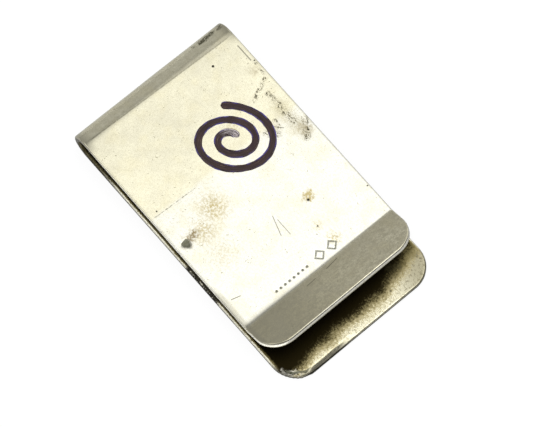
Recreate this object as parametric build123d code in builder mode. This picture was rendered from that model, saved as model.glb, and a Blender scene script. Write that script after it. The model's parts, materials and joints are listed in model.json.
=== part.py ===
"""Money clip: one strip of silver sheet folded back on itself to make a flat spring.

The front plate lies along the XY plane. The strip turns over at the fold, comes back above
the plate as a straight tongue, and ends in a thumb lip that is kicked up at a sharp crease.
Notes go in from the open end (+X) and are held between the tongue and the plate.

Frame: origin at the centre of the footprint, on the outer face of the front plate.
+X runs from the fold to the open end, +Z from the front plate towards the tongue.

The strip is divided where it bends, so that each stretch is its own solid:
front_plate and spring_fold stay still, back_tongue and thumb_lip turn about the fold's axis.
"""

import os
from math import asin, atan2, cos, degrees, hypot, radians, sin, tan

from build123d import *

# Driving dimensions, in millimetres and degrees.
clip_length = 50.8          # outside of the fold to the open end of the front plate
clip_width = 28.6
sheet = 1.02                # 18 gauge sheet
fold_height = 5.8           # outside height of the clip at the fold
crease_from_nose = 40.2     # the crease line, measured from the outside of the fold
crease_height = 4.86        # upper surface of the tongue at the crease
crease_radius = 0.7         # on the hollow, upper side of the crease
lip_angle = 25.4            # how far the lip is kicked up from the line of the tongue
lip_length = 6.55           # from the crease to the end of the lip
front_corner = 4.3          # plan radius of the front plate's two open corners
lip_corner = 4.1            # radius of the lip's two corners
edge_round = 0.2            # softened edges of the strip
opening_angle = 10.0        # how far the tongue springs open
turning_room = 1.5          # angle left between fold and tongue when it is fully open

# Places that follow from the driving dimensions.
nose_x = -clip_length / 2
fold_radius = fold_height / 2
fold_x = nose_x + fold_radius
crease_x = nose_x + crease_from_nose

# The tongue's upper surface leaves the fold as a tangent and passes through the crease.
crease_distance = hypot(crease_x - fold_x, crease_height - fold_radius)
crease_bearing = atan2(crease_height - fold_radius, crease_x - fold_x)
tangent_bearing = asin(fold_radius / crease_distance)
tongue_slope = degrees(crease_bearing - tangent_bearing)
tongue_run = crease_distance * cos(tangent_bearing)
lip_slope = tongue_slope + lip_angle
bend_setback = crease_radius * tan(radians(lip_angle / 2))


def direction(slope):
    """The unit vector up a slope in the XZ plane."""
    return (cos(radians(slope)), 0, sin(radians(slope)))


def along_strip(distance, slope):
    """The point on the strip's upper surface this far from the crease, up a slope."""
    return (crease_x + distance * direction(slope)[0], crease_height + distance * direction(slope)[2])


# Side profiles are drawn looking along +Y, with X to the right and Z up.
side_view = Plane(origin=(0, 0, 0), x_dir=(1, 0, 0), z_dir=(0, -1, 0))

# The front plate: flat, square at the fold and rounded at the open end.
with BuildPart() as front_plate:
    with BuildSketch(Plane.XY) as plate_outline:
        with Locations((fold_x, 0)):
            Rectangle(clip_length - fold_radius, clip_width, align=(Align.MIN, Align.CENTER))
        fillet(plate_outline.vertices().group_by(Axis.X)[-1], front_corner)
    extrude(amount=sheet)
    plate_rim = front_plate.edges().group_by(Axis.Z)[0] + front_plate.edges().group_by(Axis.Z)[-1]
    plate_joint = front_plate.edges().group_by(Axis.X)[0]
    fillet([edge for edge in plate_rim if edge not in plate_joint], edge_round)
front_plate.part.label = "front_plate"

# The fold: a half turn of the strip, stopped short of the tongue so that the tongue can turn.
fold_end = 90 + tongue_slope + opening_angle + turning_room
fold_sweep = 270 - fold_end

with BuildPart() as spring_fold:
    with BuildSketch(side_view):
        with BuildLine():
            outer_arc = CenterArc((fold_x, fold_radius), fold_radius, fold_end, fold_sweep)
            inner_arc = CenterArc((fold_x, fold_radius), fold_radius - sheet, fold_end, fold_sweep)
            Line(outer_arc @ 0, inner_arc @ 0)
            Line(outer_arc @ 1, inner_arc @ 1)
        make_face()
    extrude(amount=clip_width / 2, both=True)
    fillet(spring_fold.edges().filter_by(GeomType.CIRCLE), edge_round)
spring_fold.part.label = "spring_fold"

# The tongue: the straight stretch of the strip between the fold and the crease.
tongue_root = along_strip(-tongue_run, tongue_slope)
tongue_plane = Plane(
    origin=(tongue_root[0], 0, tongue_root[1]),
    x_dir=direction(tongue_slope),
    z_dir=direction(tongue_slope + 90),
)

with BuildPart() as back_tongue:
    with BuildSketch(tongue_plane):
        Rectangle(tongue_run - bend_setback, clip_width, align=(Align.MIN, Align.CENTER))
    extrude(amount=-sheet)
    fillet(back_tongue.edges().filter_by(Axis((0, 0, 0), direction(tongue_slope))), edge_round)
back_tongue.part.label = "back_tongue"

# The thumb lip: the crease bend and the kicked-up end, with its two corners rounded.
with BuildPart() as thumb_lip:
    with BuildSketch(side_view):
        with BuildLine() as lip_profile:
            bend_start = along_strip(-bend_setback, tongue_slope)
            tongue_heading = (direction(tongue_slope)[0], direction(tongue_slope)[2])
            bend = JernArc(bend_start, tongue_heading, crease_radius, lip_angle)
            Line(bend @ 1, along_strip(lip_length, lip_slope))
            offset(lip_profile.line, amount=sheet, side=Side.RIGHT)
        make_face()
    extrude(amount=clip_width / 2, both=True)
    fillet(thumb_lip.edges().filter_by(Axis((0, 0, 0), direction(lip_slope + 90))), lip_corner)
    lip_joint = thumb_lip.faces().sort_by(Axis.X)[0].edges()
    crease_lines = thumb_lip.edges().filter_by(Axis.Y).sort_by(Axis.X)[0:4]
    lip_corners = thumb_lip.edges().filter_by(Axis((0, 0, 0), direction(lip_slope + 90)))
    smooth_edges = lip_joint + crease_lines + lip_corners
    fillet([edge for edge in thumb_lip.edges() if edge not in smooth_edges], edge_round)
thumb_lip.part.label = "thumb_lip"

os.makedirs("parts", exist_ok=True)
for piece in (front_plate, spring_fold, back_tongue, thumb_lip):
    export_step(piece.part, f"parts/{piece.part.label}.step")
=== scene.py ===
"""A silver money clip lying face down: the looks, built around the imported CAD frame.

One strip of sheet is modelled as it was made: a flat outline, rounded at both ends, that is bent
round the fold and kicked up at the crease. It is then cut where the CAD nodes meet, so that each
CAD node has its own closed mesh. A pen line lies on the tongue.
"""

import json
import math

import bpy
import numpy as np
from mathutils import Matrix, Vector


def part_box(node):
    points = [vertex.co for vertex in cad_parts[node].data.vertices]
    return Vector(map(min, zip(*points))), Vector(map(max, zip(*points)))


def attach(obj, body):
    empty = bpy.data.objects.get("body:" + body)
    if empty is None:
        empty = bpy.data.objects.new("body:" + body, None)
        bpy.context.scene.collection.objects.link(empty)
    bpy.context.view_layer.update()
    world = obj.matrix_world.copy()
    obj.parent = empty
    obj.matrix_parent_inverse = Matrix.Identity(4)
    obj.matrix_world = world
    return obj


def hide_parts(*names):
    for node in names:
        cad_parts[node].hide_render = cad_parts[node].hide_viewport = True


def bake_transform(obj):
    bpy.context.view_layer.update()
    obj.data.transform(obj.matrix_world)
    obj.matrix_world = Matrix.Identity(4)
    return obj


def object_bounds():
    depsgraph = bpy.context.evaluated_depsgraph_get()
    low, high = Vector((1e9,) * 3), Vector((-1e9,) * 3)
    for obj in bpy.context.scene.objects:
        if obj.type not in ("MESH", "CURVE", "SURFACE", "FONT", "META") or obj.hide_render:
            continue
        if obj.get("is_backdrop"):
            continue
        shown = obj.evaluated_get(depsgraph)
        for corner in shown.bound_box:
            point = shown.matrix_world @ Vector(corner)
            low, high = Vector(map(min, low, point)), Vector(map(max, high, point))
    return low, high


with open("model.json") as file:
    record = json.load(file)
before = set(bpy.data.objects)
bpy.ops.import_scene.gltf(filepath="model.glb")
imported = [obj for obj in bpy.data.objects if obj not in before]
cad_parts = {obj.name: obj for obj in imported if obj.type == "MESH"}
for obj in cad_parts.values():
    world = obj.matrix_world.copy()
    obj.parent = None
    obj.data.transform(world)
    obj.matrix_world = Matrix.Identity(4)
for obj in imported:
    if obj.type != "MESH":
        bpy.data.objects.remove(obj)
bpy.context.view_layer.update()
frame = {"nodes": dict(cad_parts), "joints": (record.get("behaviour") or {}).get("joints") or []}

MM = 0.001

# ---------------------------------------------------------------- places read from the frame


def flat_of(node, facing):
    """The normal and middle of a node's largest flat that faces a direction."""
    faces = [f for f in frame["nodes"][node].data.polygons if f.normal.dot(facing) > 0.8]
    widest = max(faces, key=lambda f: f.area)
    return widest.normal.copy(), widest.center.copy()


UP = Vector((0, 0, 1))
plate_low, plate_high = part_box("front_plate")
fold_low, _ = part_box("spring_fold")
hinge = Vector(frame["joints"][0]["pos_m"])
tongue_normal, tongue_point = flat_of("back_tongue", UP)
lip_normal, lip_point = flat_of("thumb_lip", UP)
lip_heading = Vector((lip_normal.z, 0, -lip_normal.x))
_, lip_end_point = flat_of("thumb_lip", lip_heading)

SHEET = plate_high.z
HALF_WIDTH = plate_high.y
FOLD_RADIUS = hinge.x - fold_low.x
NOSE_X = fold_low.x
PLATE_LENGTH = plate_high.x - hinge.x
TONGUE_SLOPE = math.atan2(-tongue_normal.x, tongue_normal.z)
LIP_SLOPE = math.atan2(-lip_normal.x, lip_normal.z)

# The crease is where the upper flats of tongue and lip meet.
tongue_heading = Vector((tongue_normal.z, 0, -tongue_normal.x))
crease_step = (lip_point - tongue_point).dot(lip_normal) / tongue_heading.dot(lip_normal)
CREASE = tongue_point + tongue_heading * crease_step
tongue_root = hinge + tongue_normal * FOLD_RADIUS
TONGUE_LENGTH = (CREASE - tongue_root).dot(tongue_heading)
LIP_LENGTH = (lip_end_point - CREASE).dot(lip_heading)

# Distances along the strip's outer face, from the joint of plate and fold.
FOLD_TURN = math.pi - TONGUE_SLOPE
S_OPEN = -PLATE_LENGTH
S_FOLD = 0.0
S_TONGUE = FOLD_RADIUS * FOLD_TURN
S_CREASE = S_TONGUE + TONGUE_LENGTH
S_END = S_CREASE + LIP_LENGTH

# ---------------------------------------------------------------- shape of the strip, in metres

PLATE_CORNER = 4.3 * MM
LIP_CORNER = 4.1 * MM
EDGE = 0.3 * MM              # radius of the polished edges
CREASE_SPREAD = 1.1 * MM     # length over which the crease turns
RUN_OUT = 0.08               # share of the fold over which its curve runs out into the tongue
CORNER_STEPS = 16            # rows over a rounded corner
EDGE_STEPS = 4               # rows over a quarter of a rounded edge
LANES = 9                    # lines along the strip on which its bent path is worked out
PATH_STEP = 0.05 * MM
PATH_MARGIN = 1.0 * MM       # how far each path goes on past the strip's ends
SAME_ROW = 1e-6 * MM         # stations nearer than this are the same row


def tongue_s(x):
    """Where a spot on the tongue, x from the nose, lies along the strip."""
    return S_TONGUE + (x + NOSE_X - tongue_root.x) / math.cos(TONGUE_SLOPE)


def plate_s(x):
    """Where a spot on the plate, x from the nose, lies along the strip."""
    return hinge.x - NOSE_X - x


# Old damage and punched marks, by x from the nose and y. They need a finer mesh round them.
PIT_AT = (24.5 * MM, -12.55 * MM)
PIT_RADIUS = 0.85 * MM
PIT_DEPTH = 0.13 * MM
PIT_SIDE = -12.1 * MM        # y at which the finer mesh of the pitted side ends
PUNCH_X = 38.7 * MM
PUNCH_Y = np.linspace(-7.1, -1.2, 8) * MM
PUNCH_RADIUS = 0.24 * MM
PUNCH_DEPTH = 0.07 * MM
LOZENGE_X = 38.5 * MM
LOZENGE_Y = np.array([1.4, 3.8]) * MM
LOZENGE_REACH = 0.8 * MM
LOZENGE_DEPTH = 0.06 * MM
GROOVE = 0.13 * MM           # width of a lozenge's outline
BATTERED = 3.5 * MM          # length of the plate's battered end
LUMP_HEIGHT = 0.09 * MM
CREVICE_DEPTH = 0.16 * MM
BEVEL_DEPTH = 0.30 * MM
WORN_IN = 0.13 * MM          # how far the battered corner's outline is worn in, at most
FULL_OF_GRIME = (0.06 * MM, 0.05 * MM)   # depth at which a mark and the crevice are all grime


def smooth(x):
    x = np.clip(x, 0, 1)
    return x * x * (3 - 2 * x)


def spaced(*stretches):
    """Values that start each stretch at its place, with its own step; the last one only ends."""
    runs = []
    for (start, step), (stop, _) in zip(stretches, stretches[1:]):
        count = max(1, round((stop - start) / step))
        runs.append(np.linspace(start, stop, count, endpoint=False))
    runs.append([stretches[-1][0]])
    return np.concatenate(runs)


def stations():
    """Rows across the strip, closer together where it bends, at its ends and round fine detail."""
    corner_angles = np.linspace(math.pi / 2, 0, CORNER_STEPS, endpoint=False)
    plate_corner = S_OPEN + PLATE_CORNER - (PLATE_CORNER - EDGE) * np.sin(corner_angles)
    lip_corner = S_END - LIP_CORNER + (LIP_CORNER - EDGE) * np.sin(corner_angles)
    bend = 1.5 * CREASE_SPREAD
    between = spaced(
        (S_OPEN + PLATE_CORNER, 0.4 * MM),
        (-1.0 * MM, 0.12 * MM),
        (S_FOLD, 0.1 * MM),
        (S_TONGUE, 0.12 * MM),
        (S_TONGUE + 0.9 * MM, 0.25 * MM),
        (tongue_s(PIT_AT[0] - PIT_RADIUS), 0.09 * MM),
        (tongue_s(PIT_AT[0] + PIT_RADIUS), 0.25 * MM),
        (tongue_s(PUNCH_X - 1.3 * LOZENGE_REACH), 0.09 * MM),
        (S_CREASE - CREASE_SPREAD, 0.08 * MM),
        (S_CREASE + bend, 0.16 * MM),
        (S_END - LIP_CORNER, None),
    )
    battered = spaced((S_OPEN + EDGE, 0.13 * MM), (S_OPEN + BATTERED, None))
    return np.unique(np.concatenate([plate_corner, battered[1:], between, lip_corner]).round(9))


def columns():
    """Places across the strip, as shares of its half width."""
    flat_half = HALF_WIDTH - EDGE
    return spaced(
        (-flat_half, 0.12 * MM),
        (PIT_SIDE, 0.25 * MM),
        (PUNCH_Y[0] - 2 * PUNCH_RADIUS, 0.1 * MM),
        (LOZENGE_Y[-1] + 1.3 * LOZENGE_REACH, 0.25 * MM),
        (flat_half, None),
    ) / flat_half


def half_width_at(s):
    """Half the width of the strip's flat face, inside its rounded edges, at a station."""
    inner_half = HALF_WIDTH - EDGE
    width = np.full_like(s, inner_half)
    for end, corner, sign in ((S_OPEN, PLATE_CORNER, -1), (S_END, LIP_CORNER, 1)):
        centre = end - sign * corner
        radius = corner - EDGE
        depth = np.clip((s - centre) * sign, 0, radius)
        curved = HALF_WIDTH - corner + np.sqrt(np.maximum(radius ** 2 - depth ** 2, 0))
        width = np.where((s - centre) * sign > 0, curved, width)
    return width


def outline_normal(s, side):
    """The flat outline's outward direction at the end of a row, as (along, across)."""
    along = np.zeros_like(s)
    for end, corner, sign in ((S_OPEN, PLATE_CORNER, -1), (S_END, LIP_CORNER, 1)):
        centre = end - sign * corner
        depth = np.clip((s - centre) * sign / (corner - EDGE), 0, 1)
        along = along + sign * depth
    return np.stack([along, side * np.sqrt(np.maximum(1 - along ** 2, 0))], -1)


def heading_at(s, v):
    """The direction in which the strip runs in the XZ plane, as an angle."""
    share = (s - S_FOLD) / (S_TONGUE - S_FOLD)
    over = np.clip((share - 1 + RUN_OUT) / (2 * RUN_OUT), 0, 1)
    turn = FOLD_TURN * (np.clip(share, 0, 1 - RUN_OUT) + 2 * RUN_OUT * (over - over ** 2 / 2))
    spread = CREASE_SPREAD * (1.0 - 0.5 * v / HALF_WIDTH)
    kick = (LIP_SLOPE - TONGUE_SLOPE) * smooth((s - S_CREASE) / spread + 0.5)
    return math.pi - turn + kick


def bend_to_shape(s, v, depth):
    """Places points of the flat strip in the frame. The three arrays have one shape."""
    steps = np.arange(S_OPEN - PATH_MARGIN, S_END + PATH_MARGIN, PATH_STEP)
    fine = np.unique(np.concatenate([np.unique(s), steps, [S_FOLD]]))
    lanes = np.linspace(-HALF_WIDTH, HALF_WIDTH, LANES)
    path_x, path_z = [], []
    for lane in lanes:
        angle = heading_at(fine, np.full_like(fine, lane))
        middle = (angle[1:] + angle[:-1]) / 2
        chord = np.diff(fine) * np.sinc(np.diff(angle) / 2 / math.pi)
        x = np.concatenate([[0], np.cumsum(np.cos(middle) * chord)])
        z = np.concatenate([[0], np.cumsum(np.sin(middle) * chord)])
        start = np.searchsorted(fine, S_FOLD)
        path_x.append(x - x[start] + hinge.x)
        path_z.append(z - z[start])
    path_x, path_z = np.array(path_x), np.array(path_z)
    lane_at = (v + HALF_WIDTH) / (2 * HALF_WIDTH) * (LANES - 1)
    low = np.clip(np.floor(lane_at).astype(int), 0, LANES - 2)
    share = lane_at - low
    index = np.interp(s, fine, np.arange(len(fine)))
    i0 = np.clip(np.floor(index).astype(int), 0, len(fine) - 2)
    f = index - i0

    def sample(path):
        near = path[low, i0] * (1 - f) + path[low, i0 + 1] * f
        far = path[low + 1, i0] * (1 - f) + path[low + 1, i0 + 1] * f
        return near * (1 - share) + far * share

    angle = heading_at(s, v)
    x = sample(path_x) + np.sin(angle) * depth
    z = sample(path_z) - np.cos(angle) * depth
    return np.stack([x, v, z], -1)


# ---------------------------------------------------------------- the whole strip as one grid

row_s = stations()
column_t = columns()
column_count = len(column_t)
grid_s = np.repeat(row_s[:, None], column_count, 1)
grid_v = half_width_at(row_s)[:, None] * column_t[None, :]
row_count = len(row_s)


def wander(s, v):
    """The sheet's own unevenness, a few hundredths of a millimetre."""
    a, b = s / MM, v / MM
    slow = 0.018 * np.sin(a * 0.31 + 0.6) * np.cos(b * 0.21 + 0.4)
    slow = slow + 0.012 * np.sin(b * 0.47 + a * 0.12)
    quick = 0.0022 * np.sin(a * 1.9 + 1.3 * np.sin(b * 0.7)) * np.sin(b * 1.6 + 0.9 * np.sin(a * 0.5))
    return (slow + quick) * MM


def bowl(s, v, at, radius):
    """1 at the middle of a round mark, 0 at its edge and beyond."""
    distance = np.hypot(s - at[0], v - at[1]) / radius
    return smooth(1.6 * (1 - distance))


def sunk(s, v):
    """Depth of the marks in the tongue's top, in metres."""
    pit = (tongue_s(PIT_AT[0]), PIT_AT[1])
    ragged = 1 + 0.14 * np.sin(3 * np.arctan2(v - pit[1], s - pit[0]) + 1.0)
    depth = PIT_DEPTH * bowl(s, v, pit, PIT_RADIUS * ragged)
    for y in PUNCH_Y:
        depth = depth + PUNCH_DEPTH * bowl(s, v, (tongue_s(PUNCH_X), y), PUNCH_RADIUS)
    for y in LOZENGE_Y:
        from_middle = np.abs(s - tongue_s(LOZENGE_X)) + np.abs(v - y)
        depth = depth + LOZENGE_DEPTH * np.exp(-((from_middle - LOZENGE_REACH) / GROOVE) ** 2)
    return depth


def from_battered_corner(s, v):
    """Millimetres in from the plate's open end, from its -Y side, and from the rounded outline."""
    along = (s - S_OPEN) / MM
    across = (v + HALF_WIDTH) / MM
    radius = PLATE_CORNER / MM
    from_centre = np.hypot(np.maximum(radius - along, 0), np.maximum(radius - across, 0))
    return along, across, radius - from_centre


def battering(s, v):
    """Height of the hammered lumps at the plate's -Y end corner, with the crevice behind them."""
    along, across, inset = from_battered_corner(s, v)
    near = smooth((4.6 - across) / 1.6) * smooth((3.4 - along) / 1.5)
    lumps = np.sin(5.2 * across + 2.2 * np.sin(3.1 * along)) * np.cos(4.4 * along - 1.1 * across)
    lumps = 0.5 + 0.5 * lumps
    crevice = np.exp(-((inset - 0.75 - 0.12 * np.sin(3.3 * across)) / 0.16) ** 2)
    raised = LUMP_HEIGHT * lumps * smooth(1.6 - inset)
    return near * (raised - CREVICE_DEPTH * crevice * (0.5 + 0.5 * lumps))


def bevel(s, v):
    """Depth of the hammered bevel along the -Y half of the plate's open end."""
    _, across, inset = from_battered_corner(s, v)
    inset = inset + 0.03 * np.sin(1.3 * across)
    stretch = smooth((across - 2.6) / 1.5) * smooth((13.5 - across) / 5)
    return BEVEL_DEPTH * stretch * smooth((0.95 - inset) / 0.9)


def nicks(s, v):
    """How far the outline is worn in, in metres."""
    along, across, _ = from_battered_corner(s, v)
    corner = smooth((4.6 - across) / 1.8) * smooth((4.5 - along) / 2)
    chewed = 0.3 * np.sin(4.1 * across + 1.7 * along) + 0.2 * np.sin(9.3 * along - 6.1 * across)
    return corner * (0.5 + chewed) * WORN_IN


def outer_relief(s, v):
    return wander(s, v) - sunk(s, v)


def inner_relief(s, v):
    return wander(s, v) + bevel(s, v) - battering(s, v)


# The rim runs round the outline from the outer face to the inner one: (inset, depth) pairs.
quarter = np.linspace(0, math.pi / 2, EDGE_STEPS + 1)
rim_profile = [(EDGE * (1 - math.sin(a)), EDGE * (1 - math.cos(a))) for a in quarter[1:]]
rim_profile += [(EDGE * (1 - math.cos(a)), SHEET - EDGE * (1 - math.sin(a))) for a in quarter[:-1]]

# The boundary of the grid, in order: along the -Y side to the lip's end, across it, and back
# along the +Y side to the plate's open end, and across that.
ring = [(i, 0) for i in range(row_count)]
ring += [(row_count - 1, j) for j in range(1, column_count)]
ring += [(i, column_count - 1) for i in range(row_count - 2, -1, -1)]
ring += [(0, j) for j in range(column_count - 2, 0, -1)]
ring_i = np.array([p[0] for p in ring])
ring_j = np.array([p[1] for p in ring])
ring_s = grid_s[ring_i, ring_j]
ring_v = grid_v[ring_i, ring_j]
ring_side = np.where(ring_j == 0, -1.0, 1.0)
ring_normal = outline_normal(ring_s, ring_side)
ring_normal[(ring_i == 0)] = (-1, 0)
ring_normal[(ring_i == row_count - 1)] = (1, 0)

flat_points = [np.stack([grid_s, grid_v, -outer_relief(grid_s, grid_v)], -1).reshape(-1, 3)]
flat_points.append(np.stack([grid_s, grid_v, SHEET - inner_relief(grid_s, grid_v)], -1).reshape(-1, 3))
for inset, depth in rim_profile:
    out = EDGE - inset - nicks(ring_s, ring_v)
    s = ring_s + ring_normal[:, 0] * out
    v = ring_v + ring_normal[:, 1] * out
    share = depth / SHEET
    relief = outer_relief(ring_s, ring_v) * (1 - share) + inner_relief(ring_s, ring_v) * share
    flat_points.append(np.stack([s, v, depth - relief], -1))
flat_points = np.concatenate(flat_points)
points = bend_to_shape(flat_points[:, 0], flat_points[:, 1], flat_points[:, 2])

# Grime sits in the sunk marks of the outer face and in the crevice of the inner one.
on_outer = flat_points[:, 2] < SHEET / 2
in_marks = sunk(flat_points[:, 0], flat_points[:, 1]) / FULL_OF_GRIME[0]
in_crevice = -battering(flat_points[:, 0], flat_points[:, 1]) / FULL_OF_GRIME[1]
soot_at = np.clip(np.where(on_outer, in_marks, in_crevice), 0, 1)

grid_size = row_count * column_count
outer_id = np.arange(grid_size).reshape(row_count, column_count)
inner_id = outer_id + grid_size
rim_id = 2 * grid_size + np.arange(len(rim_profile) * len(ring)).reshape(len(rim_profile), len(ring))
ring_outer = outer_id[ring_i, ring_j]
ring_inner = inner_id[ring_i, ring_j]
levels = np.vstack([ring_outer[None], rim_id, ring_inner[None]])


def grid_faces(ids, flip):
    """The quads between a grid's points, facing the other way when flipped."""
    a, b, c, d = ids[:-1, :-1], ids[1:, :-1], ids[1:, 1:], ids[:-1, 1:]
    return np.stack([a, d, c, b] if flip else [a, b, c, d], -1)


outer_faces = grid_faces(outer_id, False)
inner_faces = grid_faces(inner_id, True)
after = np.roll(levels, -1, axis=1)
rim_faces = np.stack([levels[:-1], levels[1:], after[1:], after[:-1]], -1)


def make_object(name, vertices, faces):
    mesh = bpy.data.meshes.new(name)
    mesh.from_pydata(vertices.tolist(), [], faces)
    mesh.update()
    made = bpy.data.objects.new(name, mesh)
    bpy.context.scene.collection.objects.link(made)
    return made


# Smooth normals come from the uncut strip, so that the cuts between the pieces don't show.
all_faces = [quads.reshape(-1, 4) for quads in (outer_faces, inner_faces, rim_faces)]
whole = make_object("whole_strip", points, np.concatenate(all_faces).tolist())
normals = np.zeros(len(points) * 3, np.float32)
whole.data.vertex_normals.foreach_get("vector", normals)
normals = normals.reshape(-1, 3)
bpy.data.objects.remove(whole)


def cut_piece(name, start, stop):
    """A closed mesh of the strip between two stations, with the uncut strip's normals."""
    low = int(np.searchsorted(row_s, start - SAME_ROW))
    high = int(np.searchsorted(row_s, stop - SAME_ROW))
    high = min(high, row_count - 1)
    faces = outer_faces[low:high].reshape(-1, 4).tolist()
    faces += inner_faces[low:high].reshape(-1, 4).tolist()
    kept = []
    for k in range(len(ring)):
        i, j = ring[k]
        i2, j2 = ring[(k + 1) % len(ring)]
        inside = low <= min(i, i2) and max(i, i2) <= high
        on_cut = i == i2 and 0 < i < row_count - 1
        if inside and not on_cut:
            kept.append(k)
    faces += rim_faces[:, kept].reshape(-1, 4).tolist()
    smooth_count = len(faces)
    for row, is_start in ((low, True), (high, False)):
        if row in (0, row_count - 1):
            continue
        left = ring.index((row, 0))
        right = ring.index((row, column_count - 1))
        loop = list(outer_id[row])
        loop += list(rim_id[:, right])
        loop += list(inner_id[row][::-1])
        loop += list(rim_id[::-1, left])
        faces.append(loop[::-1] if is_start else loop)
    used = np.unique(np.concatenate([np.asarray(f) for f in faces]))
    new_id = np.full(len(points), -1)
    new_id[used] = np.arange(len(used))
    piece = make_object(name, points[used], [[int(new_id[v]) for v in f] for f in faces])
    mesh = piece.data
    custom = []
    for face in mesh.polygons:
        face.use_smooth = face.index < smooth_count
        for vertex in face.vertices:
            custom.append(tuple(normals[used[vertex]] if face.use_smooth else face.normal))
    mesh.normals_split_custom_set(custom)
    strip = mesh.attributes.new("strip", "FLOAT_VECTOR", "POINT")
    strip.data.foreach_set("vector", (flat_points[used] / MM).astype(np.float32).ravel())
    soot = mesh.attributes.new("soot", "FLOAT", "POINT")
    soot.data.foreach_set("value", soot_at[used].astype(np.float32))
    return piece


pieces = {
    "front_plate": cut_piece("plate_sheet", row_s[0], S_FOLD),
    "spring_fold": cut_piece("fold_sheet", S_FOLD, S_TONGUE),
    "back_tongue": cut_piece("tongue_sheet", S_TONGUE, S_CREASE - CREASE_SPREAD),
    "thumb_lip": cut_piece("lip_sheet", S_CREASE - CREASE_SPREAD, row_s[-1]),
}

# ---------------------------------------------------------------- materials


class Graph:
    """A few short calls that build a node tree."""

    def __init__(self, tree):
        self.tree = tree
        tree.nodes.clear()

    def node(self, kind, inputs=None, **settings):
        made = self.tree.nodes.new(kind)
        for key, value in settings.items():
            setattr(made, key, value)
        for key, value in (inputs or {}).items():
            self.put(made.inputs[key], value)
        return made

    def put(self, socket, value):
        if isinstance(value, bpy.types.NodeSocket):
            self.tree.links.new(value, socket)
        else:
            socket.default_value = value

    def math(self, operation, a, b=0.0, clamp=False):
        made = self.node("ShaderNodeMath", operation=operation, use_clamp=clamp)
        self.put(made.inputs[0], a)
        self.put(made.inputs[1], b)
        return made.outputs[0]

    def ramp(self, value, low, high):
        made = self.node("ShaderNodeMapRange", {"Value": value}, interpolation_type="SMOOTHSTEP")
        made.inputs["From Min"].default_value = low
        made.inputs["From Max"].default_value = high
        return made.outputs["Result"]

    def mix(self, share, a, b):
        made = self.node("ShaderNodeMix", data_type="RGBA")
        self.put(made.inputs["Factor"], share)
        self.put(made.inputs["A"], a)
        self.put(made.inputs["B"], b)
        return made.outputs["Result"]

    def noise(self, vector, scale, detail=3.0, roughness=0.55):
        settings = {"Vector": vector, "Scale": scale, "Detail": detail, "Roughness": roughness}
        return self.node("ShaderNodeTexNoise", settings).outputs["Fac"]

    def vector(self, operation, a, b=(0, 0, 0), output="Vector"):
        return self.node("ShaderNodeVectorMath", {0: a, 1: b}, operation=operation).outputs[output]

    def scaled(self, vector, size):
        settings = {0: vector, "Scale": size}
        return self.node("ShaderNodeVectorMath", settings, operation="SCALE").outputs["Vector"]

    def attribute(self, name, output="Vector"):
        return self.node("ShaderNodeAttribute", attribute_name=name).outputs[output]

    def most(self, *masks):
        total = masks[0]
        for mask in masks[1:]:
            total = self.math("MAXIMUM", total, mask)
        return total

    def times(self, *masks):
        total = masks[0]
        for mask in masks[1:]:
            total = self.math("MULTIPLY", total, mask)
        return total

    def unless(self, mask):
        return self.math("SUBTRACT", 1.0, mask)

    def tint(self, base, tone, *masks):
        """The base, turned to a tone where all the masks are 1."""
        return self.mix(self.times(*masks), base, colour(*tone))

    def finish(self, surface):
        self.node("ShaderNodeOutputMaterial", {"Surface": surface})


def new_material(name, graph=Graph):
    material = bpy.data.materials.new(name)
    material.use_nodes = True
    return material, graph(material.node_tree)


def colour(r, g, b):
    return (r, g, b, 1.0)


def on_tongue(x, y):
    """Strip coordinates in millimetres of a spot on the tongue, x from the nose."""
    return (tongue_s(x * MM) / MM, y, 0)


def on_plate(x, y):
    """The same for a spot on the plate."""
    return (plate_s(x * MM) / MM, y, 0)


# Places along the strip in millimetres, as the materials use them.
OPEN_LINE = S_OPEN / MM
FOLD_LINE = S_TONGUE / MM
WIPE_LINE = tongue_s(18.4 * MM) / MM
CREASE_LINE = S_CREASE / MM

# Marks on the tongue, in millimetres. Spots: x from the nose, y, radius, softness, strength.
TEA_SPOTS = (
    (22.8, -5.9, 1.7, 2.0, 0.6),
    (24.8, -9.3, 1.5, 1.8, 0.5),
    (30.6, 6.1, 0.8, 0.4, 1.0),
    (29.0, -9.5, 1.5, 2.5, 0.2),
    (38.0, 4.7, 0.8, 0.8, 0.5),
    (35.0, 4.2, 0.5, 0.6, 0.35),
    (15.2, 4.4, 0.4, 1.2, 0.4),
)
DARK_SPOTS = (
    (24.4, -12.3, 0.9, 0.5, 0.6),
    (20.4, 0.2, 0.3, 0.3, 0.6),
    (10.2, 12.6, 0.6, 0.6, 0.4),
    (22.1, 12.6, 1.0, 0.7, 0.6),
)
DOTS = (
    (5.6, 8.5, 0.2, 0.06, 1.0),
    (31.0, 5.7, 0.22, 0.12, 1.0),
    (17.8, -12.7, 0.12, 0.1, 1.0),
    (8.9, 13.9, 0.12, 0.1, 1.0),
    (20.4, 0.2, 0.08, 0.1, 1.0),
    (35.0, 4.1, 0.12, 0.1, 1.0),
    (35.9, 3.2, 0.07, 0.08, 1.0),
    (35.0, 13.9, 0.12, 0.1, 1.0),
)
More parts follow.
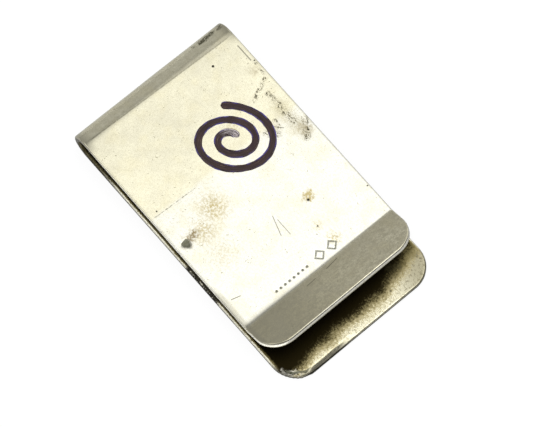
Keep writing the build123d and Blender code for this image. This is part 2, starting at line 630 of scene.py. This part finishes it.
# Streaks: x and y of one end, x and y of the other, width, strength.
GOUGES = (
    (9.1, 13.8, 11.4, 13.6, 0.35, 1.0),
    (12.2, 13.2, 13.2, 11.0, 0.5, 1.0),
    (13.2, 11.0, 13.9, 9.7, 0.5, 1.0),
    (14.3, 12.0, 17.3, 12.2, 0.6, 1.0),
    (17.0, 11.9, 21.0, 12.3, 0.75, 1.0),
    (20.8, 13.8, 23.4, 12.0, 0.75, 1.0),
    (18.3, 10.0, 19.5, 9.8, 0.5, 1.0),
    (19.0, 7.6, 20.3, 9.0, 0.7, 0.8),
)
SCRATCHES = (
    (5.5, 13.5, 8.5, 13.5, 0.15, 1.0),
    (29.5, 0.0, 32.6, -1.0, 0.10, 1.0),
    (30.4, 0.2, 33.3, 0.2, 0.09, 1.0),
    (35.4, -13.0, 35.8, -11.6, 0.12, 1.0),
    (17.8, 8.2, 20.0, 10.3, 0.09, 1.0),
    (41.0, 0.7, 40.7, 3.0, 0.11, 1.0),
    (41.2, -3.2, 41.1, -1.5, 0.09, 1.0),
)


class Sheet(Graph):
    """A node tree that knows where it is on the strip, with the noises and masks that it shares."""

    def __init__(self, tree):
        super().__init__(tree)
        self.strip = self.attribute("strip")
        parts = self.node("ShaderNodeSeparateXYZ", {0: self.strip}).outputs
        self.s, self.v, self.depth = parts["X"], parts["Y"], parts["Z"]
        self.side = self.math("ABSOLUTE", self.v)
        self.flat = self.vector("MULTIPLY", self.strip, (1, 1, 0))
        self.cloud = self.noise(self.flat, 0.35)
        self.fine = self.noise(self.flat, 2.6, 4.0, 0.7)
        self.grit = self.noise(self.flat, 7.0, 2.0, 0.6)
        wobble = self.node("ShaderNodeTexNoise", {"Vector": self.flat, "Scale": 1.4, "Detail": 3.0})
        wobble = self.vector("SUBTRACT", wobble.outputs["Color"], (0.5, 0.5, 0.5))
        self.ragged = self.vector("ADD", self.flat, self.scaled(wobble, 1.6))

        self.outer = self.into(0.45, 0.15)
        self.inner = self.into(0.6, 0.9)
        self.rim = self.times(self.into(0.04, 0.2), self.into(0.98, 0.86))
        self.lip = self.times(self.along(CREASE_LINE - 0.2, CREASE_LINE + 0.4), self.outer)
        lip_edge = self.times(self.into(0.03, 0.12), self.into(0.8, 0.5))
        self.lip_rim = self.times(self.along(CREASE_LINE, CREASE_LINE + 1.5), lip_edge)
        slanted = self.math("ADD", self.times(self.v, 0.028), FOLD_LINE + 0.18)
        self.past_fold = self.math("SUBTRACT", self.s, slanted)
        self.fold = self.times(self.ramp(self.past_fold, 0.1, -0.05), self.outer)
        clusters = self.ramp(self.noise(self.flat, 0.5, 2.0), 0.46, 0.62)
        cells = self.node("ShaderNodeTexVoronoi", {"Vector": self.ragged, "Scale": 1.5})
        freckle = self.ramp(cells.outputs["Distance"], 0.21, 0.10)
        self.freckle = self.times(freckle, clusters, 0.8)

    def along(self, low, high):
        """0 to 1 between two stations, in millimetres."""
        return self.ramp(self.s, low, high)

    def across(self, low, high):
        return self.ramp(self.v, low, high)

    def into(self, low, high):
        """0 to 1 between two depths below the outer face, in millimetres."""
        return self.ramp(self.depth, low, high)

    def spot(self, place, radius, soft, source=None):
        """1 inside a round spot, which fades over its soft edge. Its outline is ragged, or as told."""
        distance = self.vector("DISTANCE", source or self.ragged, place, "Value")
        return self.ramp(distance, radius + soft, max(radius - soft, 0.0))

    def streak(self, start, stop, width, source=None):
        """1 on the line between two spots, 0 at a distance of the width and more."""
        source = source or self.flat
        start, stop = Vector(start), Vector(stop)
        unit = (stop - start).normalized()
        reach = self.vector("DOT_PRODUCT", self.vector("SUBTRACT", source, start), unit, "Value")
        reach = self.math("MINIMUM", self.math("MAXIMUM", reach, 0.0), (stop - start).length)
        foot = self.vector("ADD", self.scaled(tuple(unit), reach), tuple(start))
        return self.ramp(self.vector("DISTANCE", source, foot, "Value"), width, width * 0.25)

    def spots(self, table, source=None):
        made = []
        for x, y, radius, soft, strength in table:
            made.append(self.times(self.spot(on_tongue(x, y), radius, soft, source), strength))
        return self.most(*made)

    def streaks(self, table):
        made = []
        for x, y, end_x, end_y, width, strength in table:
            line = self.streak(on_tongue(x, y), on_tongue(end_x, end_y), width)
            made.append(self.times(line, strength))
        return self.most(*made)


def skin(g):
    """Hazy silver, whiter where the tongue was wiped clean, with a dull grain on lip and fold,
    painted shade on the lip and a painted highlight on its rim.
    """
    drift = g.times(g.math("SUBTRACT", g.cloud, 0.5), 1.2)
    wiped = g.ramp(g.math("ADD", g.s, drift), WIPE_LINE - 0.5, WIPE_LINE + 0.6)
    wiped = g.times(wiped, g.along(CREASE_LINE + 0.3, CREASE_LINE - 0.3), g.outer)
    base = g.mix(wiped, colour(0.925, 0.885, 0.675), colour(0.955, 0.945, 0.845))
    # The lip's own tint, with painted shade that makes it darker towards its -Y side.
    lip_tint = g.mix(g.across(-14.0, 11.0), colour(0.90, 0.835, 0.55), colour(1.0, 0.95, 0.715))
    base = g.mix(g.lip, base, lip_tint)
    # Painted shade on the lip next to the crease.
    near_crease = g.along(CREASE_LINE + 3.6, CREASE_LINE + 0.3)
    base = g.tint(base, (0.55, 0.50, 0.34), g.lip, near_crease, 0.35)
    grain = g.noise(g.vector("MULTIPLY", g.flat, (1.9, 1.0, 1.0)), 0.9, 6.0, 0.75)
    grained = g.most(g.lip, g.times(g.fold, 0.5))
    base = g.tint(base, (0.50, 0.465, 0.325), g.ramp(grain, 0.42, 0.60), grained, 0.62)
    base = g.tint(base, (0.66, 0.62, 0.46), g.ramp(g.cloud, 0.40, 0.62), grained, 0.35)
    haze = g.ramp(g.noise(g.flat, 0.22, 4.0, 0.6), 0.44, 0.66)
    base = g.tint(base, (0.76, 0.72, 0.56), haze, g.unless(g.times(wiped, 0.65)), 0.34)
    base = g.tint(base, (0.88, 0.80, 0.50), g.ramp(g.cloud, 0.45, 0.68), 0.26)
    # Painted highlight on the lip's rounded rim.
    base = g.tint(base, (0.96, 0.94, 0.86), g.lip_rim, 0.9)
    base = g.tint(base, (0.50, 0.47, 0.34), g.ramp(g.grit, 0.42, 0.62), g.lip, 0.4)

    # Fine speckle all over, and small dull spots in loose clusters.
    speckled = g.math("ADD", g.times(g.lip, 0.22), 0.24)
    base = g.tint(base, (0.60, 0.56, 0.40), g.ramp(g.fine, 0.44, 0.60), speckled)
    base = g.tint(base, (0.40, 0.37, 0.25), g.freckle)
    return g.tint(base, (0.42, 0.39, 0.27), g.ramp(g.grit, 0.56, 0.70), 0.35)


def painted_bend_shade(g, base):
    """Painted shade by the crease and its -Y edge and where the fold ends, with a fine painted shadow
    line there.
    """
    # Painted shade before the crease, on its -Y side.
    by_crease = g.times(g.along(CREASE_LINE - 1.3, CREASE_LINE - 0.2), g.across(3.0, -11.0), g.outer)
    base = g.tint(base, (0.40, 0.38, 0.29), by_crease, 0.5)
    # Painted shade of the rounded -Y edge before the crease.
    on_edge = g.times(g.across(-13.2, -13.8), g.along(CREASE_LINE - 9.0, CREASE_LINE - 5.0), g.outer)
    base = g.tint(base, (0.42, 0.40, 0.31), on_edge, 0.55)
    # Painted shade that widens the dull band where the fold ends.
    fold_edge = g.times(g.fold, g.ramp(g.past_fold, -0.5, -0.2), g.across(-9.0, 5.0))
    base = g.tint(base, (0.50, 0.47, 0.36), fold_edge, 0.5)
    # A fine painted shadow line where the fold ends.
    line = g.ramp(g.math("ABSOLUTE", g.past_fold), 0.17, 0.04)
    line = g.times(line, g.outer, g.ramp(g.side, 13.6, 12.6), g.ramp(g.fine, 0.25, 0.55))
    base = g.tint(base, (0.34, 0.32, 0.23), line, 0.7)
    # Painted shade on the tongue's sides just past the fold.
    shoulders = g.times(g.ramp(g.side, 12.4, 14.1), g.outer)
    shoulders = g.times(g.along(FOLD_LINE + 2.4, FOLD_LINE + 0.3), shoulders)
    return g.tint(base, (0.44, 0.42, 0.32), shoulders, 0.7)


def stains(g, base):
    """Stains on the tongue: weak brown ones, and darker ones round the pits. Also returns those."""
    tea = g.times(g.spots(TEA_SPOTS), g.math("ADD", g.ramp(g.fine, 0.42, 0.58), 0.28), g.outer)
    base = g.tint(base, (0.54, 0.45, 0.22), g.math("MULTIPLY", tea, 1.3, clamp=True))
    by_pit = g.streak(on_tongue(24.3, -11.7), on_tongue(24.1, -10.7), 1.1, g.ragged)
    dark = g.most(g.times(by_pit, 0.9), g.spots(DARK_SPOTS))
    dark = g.times(dark, g.ramp(g.fine, 0.3, 0.6), g.outer)
    return g.tint(base, (0.33, 0.25, 0.12), dark), dark


def damage(g, base):
    """Gouges along the tongue's +Y edge, scratches, dots and a pitted nose. Also returns the dark."""
    drawn = g.noise(g.vector("MULTIPLY", g.ragged, (1.0, 2.6, 1.0)), 1.5, 4.0, 0.75)
    gouges = g.times(g.ramp(drawn, 0.47, 0.56), g.streaks(GOUGES))
    base = g.tint(base, (0.16, 0.135, 0.06), gouges, g.outer, 0.85)
    halo = g.most(
        g.streak(on_tongue(17.0, 11.9), on_tongue(22.6, 12.4), 1.8, g.ragged),
        g.spot(on_tongue(19.2, 8.9), 1.0, 0.7),
    )
    halo = g.times(halo, g.math("ADD", g.ramp(g.grit, 0.40, 0.60), 0.25))
    base = g.tint(base, (0.52, 0.46, 0.27), halo, g.outer, 0.5)
    broken = g.streak(on_tongue(18.4, -13.5), on_tongue(18.7, -6.1), 0.11)
    lines = g.most(g.streaks(SCRATCHES), g.times(broken, g.ramp(g.fine, 0.35, 0.6)))
    deep = g.times(gouges, g.ramp(drawn, 0.54, 0.60))
    dark = g.times(g.most(deep, g.times(lines, 0.6), g.spots(DOTS, g.flat)), g.outer)

    nose = FOLD_LINE - 1.9
    pits = g.most(
        g.streak((nose, 9.7, 0), (nose - 0.1, 12.0, 0), 0.75, g.ragged),
        g.spot((nose - 0.2, 13.4, 0), 0.5, 0.4),
        g.times(g.spot((nose - 0.2, 8.4, 0), 0.2, 0.3), 0.7),
    )
    pits = g.times(pits, g.ramp(g.fine, 0.34, 0.46), g.ramp(g.grit, 0.32, 0.46), g.outer, 0.92)
    return g.tint(base, (0.06, 0.055, 0.018), pits), dark


def tarnish_and_painted_shade(g, base):
    """Tarnish on the inner face, with painted shade: black in the fold's mouth and under the lip, then
    brown, then bare. The black is partly painted shade.

    Also returns how dark each place is from this, and how far its metal is hidden.
    """
    uneven = g.times(g.math("SUBTRACT", g.noise(g.flat, 0.24, 2.0, 0.5), 0.5), 2.0)
    uneven = g.math("ADD", uneven, g.times(g.math("SUBTRACT", g.fine, 0.5), 3.4))
    uneven = g.math("ADD", uneven, g.times(g.math("SUBTRACT", g.grit, 0.5), 2.2))
    reach = g.math("ADD", g.times(g.across(4.5, 13.0), 2.4), g.times(g.across(-8.0, -11.0), -0.9))
    reach = g.math("ADD", g.math("ADD", reach, 2.15), uneven)
    deep = g.math("SUBTRACT", g.math("SUBTRACT", g.s, OPEN_LINE), reach)
    to_side = g.math("SUBTRACT", HALF_WIDTH / MM, g.side)
    to_side = g.math("ADD", to_side, g.times(uneven, 0.12))
    far_in = g.along(OPEN_LINE + 3.0, OPEN_LINE + 6.0)
    at_side = g.times(far_in, g.ramp(to_side, 0.65, 0.35))
    # Black: silver sulphide, with painted shade where the tongue and lip hide the inner face.
    black = g.times(g.ramp(deep, -0.4, 1.3), g.unless(at_side), g.inner)
    brown = g.times(g.ramp(deep, -1.3, 0.6), g.ramp(to_side, 0.22, 0.5), g.inner)
    gold = g.times(g.ramp(deep, -1.9, -0.1), g.ramp(to_side, 0.1, 0.2), g.inner)

    # Darker towards the +Y side, near the open end.
    end_tint = g.mix(g.across(5.0, 12.0), colour(0.85, 0.81, 0.61), colour(0.41, 0.38, 0.26))
    at_end = g.times(g.inner, g.along(OPEN_LINE + 7.0, OPEN_LINE + 4.0))
    base = g.mix(at_end, base, end_tint)
    speckle = g.ramp(g.noise(g.flat, 2.4, 5.0, 0.8), 0.51, 0.58)
    base = g.tint(base, (0.17, 0.145, 0.08), g.inner, speckle, 0.6)
    base = g.tint(base, (0.44, 0.36, 0.15), gold, 0.8)
    base = g.tint(base, (0.15, 0.12, 0.035), brown, 0.85)
    base = g.tint(base, (0.020, 0.015, 0.005), black)

    smears = g.times(g.ramp(g.fine, 0.34, 0.52), g.most(
        g.times(g.spot(on_plate(47.0, 13.1), 0.5, 0.6), 0.7),
        g.times(g.spot(on_plate(45.6, 12.5), 0.8, 0.9), 0.7),
        g.times(g.streak(on_plate(45.8, 8.6), on_plate(46.5, 9.9), 0.9, g.ragged), 0.9),
    ))
    specks = g.most(
        g.spot(on_plate(48.8, 6.6), 0.16, 0.12, g.flat),
        g.spot(on_plate(47.8, 13.3), 0.12, 0.1, g.flat),
    )
    base = g.tint(base, (0.075, 0.065, 0.03), g.inner, g.most(smears, specks), 0.85)

    # Olive along the plate's sides, with a painted highlight line where its edge begins.
    olive = g.times(g.inner, far_in, g.ramp(to_side, 0.15, 0.3), g.unless(black))
    olive_tint = g.mix(g.along(-3.0, -9.0), colour(0.05, 0.042, 0.012), colour(0.17, 0.14, 0.045))
    base = g.mix(g.times(olive, 0.85), base, olive_tint)
    bright = g.times(g.into(0.66, 0.76), far_in, g.ramp(to_side, 0.3, 0.18), g.along(-2.0, -5.0))
    base = g.tint(base, (0.93, 0.90, 0.74), bright, 0.9)
    hidden = g.times(gold, g.unless(black), 0.5)
    return base, g.most(black, g.times(brown, 0.6), olive), hidden


def edges(g, base, dark):
    """The hammered end of the plate and the cut edges. Adds crust, grime and nicks to the dark."""
    hammered = g.streak(on_plate(47.9, -13.8), on_plate(50.0, -11.9), 0.75, g.ragged)
    base = g.tint(base, (0.92, 0.89, 0.77), g.inner, hammered, g.ramp(g.fine, 0.38, 0.60), 0.65)
    bevelled = g.times(g.inner, g.along(OPEN_LINE + 0.95, OPEN_LINE + 0.6), g.across(-1.0, -4.5))
    base = g.tint(base, (0.33, 0.31, 0.21), bevelled, 0.8)

    crust = g.streak(on_plate(26.9, -14.3), on_plate(32.9, -14.3), 1.2, g.ragged)
    crust = g.times(crust, g.ramp(g.fine, 0.38, 0.46), g.into(0.1, 0.4))
    grimy = g.times(g.along(0.0, -1.0), g.into(0.90, 0.72), g.into(0.02, 0.1))
    grimy = g.times(grimy, g.ramp(g.noise(g.strip, 1.1, 4.0, 0.7), 0.28, 0.42), 0.95)
    dull_rim = g.times(g.rim, g.math("SUBTRACT", 0.3, g.times(g.lip_rim, 0.3)))
    base = g.tint(base, (0.72, 0.69, 0.56), dull_rim)
    nicked = g.times(g.rim, g.ramp(g.noise(g.strip, 1.7, 4.0, 0.8), 0.60, 0.68), 0.7)

    # The -Y side face is black along the tongue, and olive where the fold meets the plate.
    face = g.across(-13.9, -14.15)
    sooty = g.times(face, g.into(0.16, 0.42), g.along(FOLD_LINE * 0.5, FOLD_LINE * 0.7))
    sooty = g.times(sooty, g.along(CREASE_LINE + 0.5, CREASE_LINE - 1.0))
    base = g.tint(base, (0.03, 0.025, 0.01), sooty, 0.94)
    olive = g.times(face, g.along(FOLD_LINE * 0.75, FOLD_LINE * 0.5), g.along(-9.0, -3.0))
    base = g.tint(base, (0.045, 0.038, 0.012), olive, g.into(0.15, 0.4), 0.93)
    return base, g.most(dark, crust, grimy, nicked)


def silver():
    """Old sterling: hazy polish, tarnish in the crevices, stains and fine scratches."""
    material, g = new_material("sterling_silver", Sheet)
    soot = g.attribute("soot", "Fac")
    base = painted_bend_shade(g, skin(g))
    base, stain = stains(g, base)
    base, dark = damage(g, base)
    base, tarnish_and_shade_mask, hidden = tarnish_and_painted_shade(g, base)
    base, dark = edges(g, base, dark)
    base = g.tint(base, (0.035, 0.032, 0.022), dark)
    base = g.tint(base, (0.15, 0.155, 0.10), soot, 0.85)

    rough = g.math("ADD", 0.13, g.times(g.cloud, 0.08))
    rough = g.math("ADD", rough, g.times(g.lip, 0.12))
    rough = g.math("ADD", rough, g.times(g.most(stain, dark, soot, tarnish_and_shade_mask), 0.28))
    rim_rough = g.math("SUBTRACT", 0.12, g.times(g.lip_rim, 0.2))
    rough = g.math("ADD", rough, g.times(g.rim, rim_rough))

    brushed = g.noise(g.vector("MULTIPLY", g.flat, (0.8, 7.0, 1.0)), 1.0, 4.0, 0.6)
    brushed = g.times(brushed, g.math("ADD", g.times(g.lip, 0.9), 0.25))
    height = g.math("ADD", g.times(g.fine, 0.5), brushed)
    height = g.math("SUBTRACT", height, g.times(g.most(dark, g.freckle), 1.2))
    bump = g.node("ShaderNodeBump", {"Height": height, "Strength": 0.5, "Distance": 0.012 * MM})
    shader = g.node("ShaderNodeBsdfPrincipled", {
        "Base Color": base,
        "Metallic": g.unless(hidden),
        "Roughness": rough,
        "Normal": bump.outputs["Normal"],
    })
    g.finish(shader.outputs["BSDF"])
    return material


silver_material = silver()
for node_name, piece in pieces.items():
    piece.data.materials.append(silver_material)
    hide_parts(node_name)

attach(pieces["front_plate"], "plate")
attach(pieces["back_tongue"], "tongue")
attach(pieces["thumb_lip"], "tongue")
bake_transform(pieces["spring_fold"])

# ---------------------------------------------------------------- the pen line on the tongue

STROKE = 1.2 * MM                      # width of the line
INK_HEIGHT = 0.022 * MM                # height of its crown
INK_LIFT = 0.004 * MM                  # height of its edges over the tongue
INK_ROOT = 0.01 * MM                   # how far its lower side lies in the tongue
INK_CENTRE = (16.4 * MM, 3.0 * MM)      # x from the nose, y
INK_REACH = (7.2 * MM, 5.6 * MM)       # half length and half breadth of the spiral
INK_TILT = math.radians(45.6)
INK_TURNS = 2.2
INK_STATIONS = 420                     # rows along the line
INK_ACROSS = 12                        # points in each row


def ink_line():
    """A plain open spiral, drawn as one stroke: its middle line on the tongue, in strip coordinates."""
    t = np.linspace(0, 1, INK_STATIONS)
    turn = 2 * math.pi * INK_TURNS * t + 0.6
    radius = 0.13 + 0.87 * t + 0.02 * np.sin(turn * 1.3)
    along, across = INK_REACH[0] * radius * np.cos(turn), INK_REACH[1] * radius * np.sin(turn)
    x = INK_CENTRE[0] + along * math.cos(INK_TILT) - across * math.sin(INK_TILT)
    y = INK_CENTRE[1] + along * math.sin(INK_TILT) + across * math.cos(INK_TILT)
    return np.stack([tongue_s(x), y], -1)


def ink_piece():
    """The pen line as one thin closed piece, with round ends."""
    line = ink_line()
    step = np.gradient(line, axis=0)
    length = np.hypot(step[:, 0], step[:, 1])
    sideways = np.stack([-step[:, 1], step[:, 0]], -1) / length[:, None]
    travelled = np.cumsum(length)
    to_end = np.minimum(travelled - travelled[0], travelled[-1] - travelled)
    round_end = np.sqrt(np.clip(1 - (1 - to_end / (STROKE / 2)).clip(0, 1) ** 2, 0.01, 1))
    unsteady = 0.06 * np.sin(travelled / MM * 0.9) + 0.03 * np.sin(travelled / MM * 3.7)
    half = STROKE / 2 * round_end * (1 + unsteady)
    across = np.linspace(-1, 1, INK_ACROSS)
    s = line[:, :1] + sideways[:, :1] * half[:, None] * across
    v = line[:, 1:] + sideways[:, 1:] * half[:, None] * across
    crown = INK_HEIGHT * (1 - across ** 4)[None, :] * round_end[:, None]
    surface = -outer_relief(s, v)
    top = np.stack([s, v, surface - crown - INK_LIFT], -1).reshape(-1, 3)
    bottom = np.stack([s, v, surface + INK_ROOT], -1).reshape(-1, 3)
    flat = np.concatenate([top, bottom])
    ids = np.arange(len(top)).reshape(s.shape)
    low = ids + len(top)
    faces = grid_faces(ids, False).reshape(-1, 4).tolist()
    faces += grid_faces(low, True).reshape(-1, 4).tolist()
    edge_top = np.concatenate([ids[:, 0], ids[-1, 1:], ids[-2::-1, -1], ids[0, -2:0:-1]])
    edge_low = edge_top + len(top)
    faces += np.stack([edge_top, edge_low, np.roll(edge_low, -1), np.roll(edge_top, -1)], -1).tolist()
    piece = make_object("pen_line", bend_to_shape(flat[:, 0], flat[:, 1], flat[:, 2]), faces)
    for face in piece.data.polygons:
        face.use_smooth = True
    stroke = piece.data.attributes.new("stroke", "FLOAT_VECTOR", "POINT")
    run = np.repeat(travelled[:, None] / MM, INK_ACROSS, 1)
    values = np.stack([run, np.broadcast_to(across, run.shape), np.zeros_like(run)], -1).reshape(-1, 3)
    stroke.data.foreach_set("vector", np.concatenate([values, values]).astype(np.float32).ravel())
    return piece


def ink():
    """Old felt-pen ink: purple-black, with a painted blue sheen at its edges, scraped thin near one
    end.
    """
    material, g = new_material("pen_ink")
    stroke = g.attribute("stroke")
    parts = g.node("ShaderNodeSeparateXYZ", {0: stroke}).outputs
    across = g.math("ABSOLUTE", parts["Y"])
    patches = g.noise(g.vector("MULTIPLY", stroke, (0.5, 1.2, 1.0)), 1.3)
    streaks = g.noise(g.vector("MULTIPLY", stroke, (0.35, 5.0, 1.0)), 1.0, 4.0)
    base = g.mix(g.ramp(streaks, 0.35, 0.65), colour(0.018, 0.011, 0.012), colour(0.042, 0.024, 0.022))
    # A painted blue sheen along the stroke's edges.
    blue = g.times(g.ramp(across, 0.5, 1.0), g.ramp(patches, 0.45, 0.62))
    base = g.tint(base, (0.065, 0.052, 0.25), blue)
    gold = g.times(g.ramp(streaks, 0.60, 0.72), g.ramp(patches, 0.52, 0.40))
    base = g.tint(base, (0.25, 0.19, 0.10), gold, 0.5)
    scraped = g.times(g.ramp(parts["X"], 3.2, 2.0), g.ramp(streaks, 0.48, 0.56))
    base = g.tint(base, (0.55, 0.50, 0.50), scraped, 0.8)
    bump = g.node("ShaderNodeBump", {"Height": streaks, "Strength": 0.4, "Distance": 0.01 * MM})
    shader = g.node("ShaderNodeBsdfPrincipled", {
        "Base Color": base,
        "Roughness": 0.45,
        "Specular IOR Level": 0.18,
        "Normal": bump.outputs["Normal"],
    })
    g.finish(shader.outputs["BSDF"])
    return material


pen_line = ink_piece()
pen_line.data.materials.append(ink())
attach(pen_line, "tongue")

# ---------------------------------------------------------------- floor, light, camera

FLOOR_RADIUS = 0.9
FLOOR_SIDES = 96
FLOOR_GAP = 0.01 * MM        # between the floor and the lowest point of the clip
OVERHEAD = (0.01, 0.2, 0.975)
# Soft cards round the clip: the direction each is seen in, its edge angles and its brightness.
CARDS = (
    ((-0.30, -0.55, 0.78), 12, 20, 1.3),
    ((0.32, 0.18, 0.93), 7, 13, 2.0),
    ((-0.25, 0.80, 0.55), 14, 26, 0.95),
    ((0, 0, -1), 80, 90, 0.7),
)
CAMERA_AZIMUTH = math.radians(51.457)
CAMERA_ELEVATION = math.radians(71.4)
CAMERA_ROLL = math.radians(-1.892)
CAMERA_AIM = Vector((2.127, 0.441, 1.0)) * MM
CAMERA_DISTANCE = 405.6 * MM
SENSOR_WIDTH = 36.0
FOCAL_LENGTH = 182.26


def floor(level):
    """A pale disc that fades out at its rim. It is clear from below, and to the clip's underside."""
    angles = np.linspace(0, 2 * math.pi, FLOOR_SIDES, endpoint=False)
    rim = [(FLOOR_RADIUS * math.cos(a), FLOOR_RADIUS * math.sin(a), 0) for a in angles]
    faces = [(0, k, k % FLOOR_SIDES + 1) for k in range(1, FLOOR_SIDES + 1)]
    made = make_object("floor", np.array([(0, 0, 0)] + rim, float), faces)
    made.location.z = level
    material, g = new_material("pale_floor")
    place = g.node("ShaderNodeTexCoord").outputs["Object"]
    grain = g.noise(place, 900.0)
    path = g.node("ShaderNodeLightPath").outputs
    tone = g.mix(grain, colour(0.90, 0.90, 0.90), colour(0.93, 0.93, 0.93))
    # To the metal the floor is grey, but white along the -Y side, as if under a second card.
    where = g.node("ShaderNodeSeparateXYZ", {0: place}).outputs
    beside = g.ramp(where["Y"], -13.0 * MM, -15.5 * MM)
    beside = g.times(beside, g.ramp(where["X"], -26.0 * MM, -21.0 * MM))
    mirrored = g.mix(beside, colour(0.46, 0.46, 0.46), colour(0.9, 0.9, 0.9))
    tone = g.mix(path["Is Glossy Ray"], tone, mirrored)
    lit = g.node("ShaderNodeBsdfDiffuse", {"Color": tone, "Roughness": 1.0})
    glow = g.node("ShaderNodeEmission", {"Color": colour(1, 1, 1), "Strength": 1.0})
    lift = g.math("MULTIPLY", path["Is Camera Ray"], 0.9)
    surface = g.node("ShaderNodeMixShader", {0: lift, 1: lit.outputs[0], 2: glow.outputs[0]})
    clear = g.node("ShaderNodeBsdfTransparent")
    below = g.node("ShaderNodeNewGeometry").outputs["Backfacing"]
    faded = g.ramp(g.vector("LENGTH", place, output="Value"), 0.35, 0.85)
    touching = g.ramp(path["Ray Length"], 0.5 * MM, 0.3 * MM)
    gone = g.most(below, touching, faded)
    mixed = g.node("ShaderNodeMixShader", {0: gone, 1: surface.outputs[0], 2: clear.outputs[0]})
    g.finish(mixed.outputs[0])
    made.data.materials.append(material)
    made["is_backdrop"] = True


def studio():
    """A white room to the camera, and a grey one with soft cards to the clip."""
    world = bpy.data.worlds.new("studio")
    world.use_nodes = True
    bpy.context.scene.world = world
    g = Graph(world.node_tree)
    direction = g.node("ShaderNodeTexCoord").outputs["Generated"]

    def card(toward, inner, outer):
        """1 inside a soft round card, seen toward a direction, with its edge angles in degrees."""
        dot = g.vector("DOT_PRODUCT", direction, tuple(Vector(toward).normalized()), "Value")
        return g.ramp(dot, math.cos(math.radians(outer)), math.cos(math.radians(inner)))

    def grey(level):
        return colour(level, level, level)

    # The overhead card has a grey border, and is brighter in two steps towards the open end.
    side = g.vector("DOT_PRODUCT", direction, (1, 0, 0), "Value")
    light = g.mix(g.ramp(side, -0.25, 0.4), grey(0.455), grey(0.17))
    light = g.mix(card(OVERHEAD, 31, 38), light, grey(0.38))
    steps = g.mix(g.ramp(side, -0.2975, -0.2225), grey(0.815), grey(1.25))
    steps = g.mix(g.ramp(side, -0.1525, -0.0025), steps, grey(2.0))
    light = g.mix(card(OVERHEAD, 20, 26), light, steps)
    for toward, inner, outer, level in CARDS:
        light = g.mix(card(toward, inner, outer), light, grey(level))
    seen = g.node("ShaderNodeLightPath").outputs["Is Camera Ray"]
    light = g.mix(seen, light, grey(1.0))
    back = g.node("ShaderNodeBackground", {"Color": light, "Strength": 1.0})
    g.node("ShaderNodeOutputWorld", {"Surface": back.outputs[0]})


def fill_light():
    """A wide lamp that lights the dull parts and the ink, and isn't mirrored in the silver."""
    lamp = bpy.data.lights.new("overhead", "AREA")
    lamp.shape = "SQUARE"
    lamp.size = 1.2
    lamp.energy = 9.0
    made = bpy.data.objects.new("overhead", lamp)
    made.location = (0, 0, 0.8)
    made.visible_glossy = False
    bpy.context.scene.collection.objects.link(made)


def camera():
    """The photograph's viewpoint: high over the open end, on the -Y side."""
    back = Vector((
        math.sin(CAMERA_AZIMUTH) * math.cos(CAMERA_ELEVATION),
        -math.cos(CAMERA_AZIMUTH) * math.cos(CAMERA_ELEVATION),
        math.sin(CAMERA_ELEVATION),
    ))
    data = bpy.data.cameras.new("camera")
    data.sensor_width = SENSOR_WIDTH
    data.lens = FOCAL_LENGTH
    data.clip_start = 0.01
    made = bpy.data.objects.new("camera", data)
    place = Matrix.Translation(CAMERA_AIM + back * CAMERA_DISTANCE)
    level = (-back).to_track_quat("-Z", "Y").to_matrix().to_4x4()
    made.matrix_world = place @ level @ Matrix.Rotation(CAMERA_ROLL, 4, "Z")
    bpy.context.scene.collection.objects.link(made)
    bpy.context.scene.camera = made


floor(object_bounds()[0][2] - FLOOR_GAP)
studio()
fill_light()
camera()
bpy.context.scene.view_settings.view_transform = "Standard"
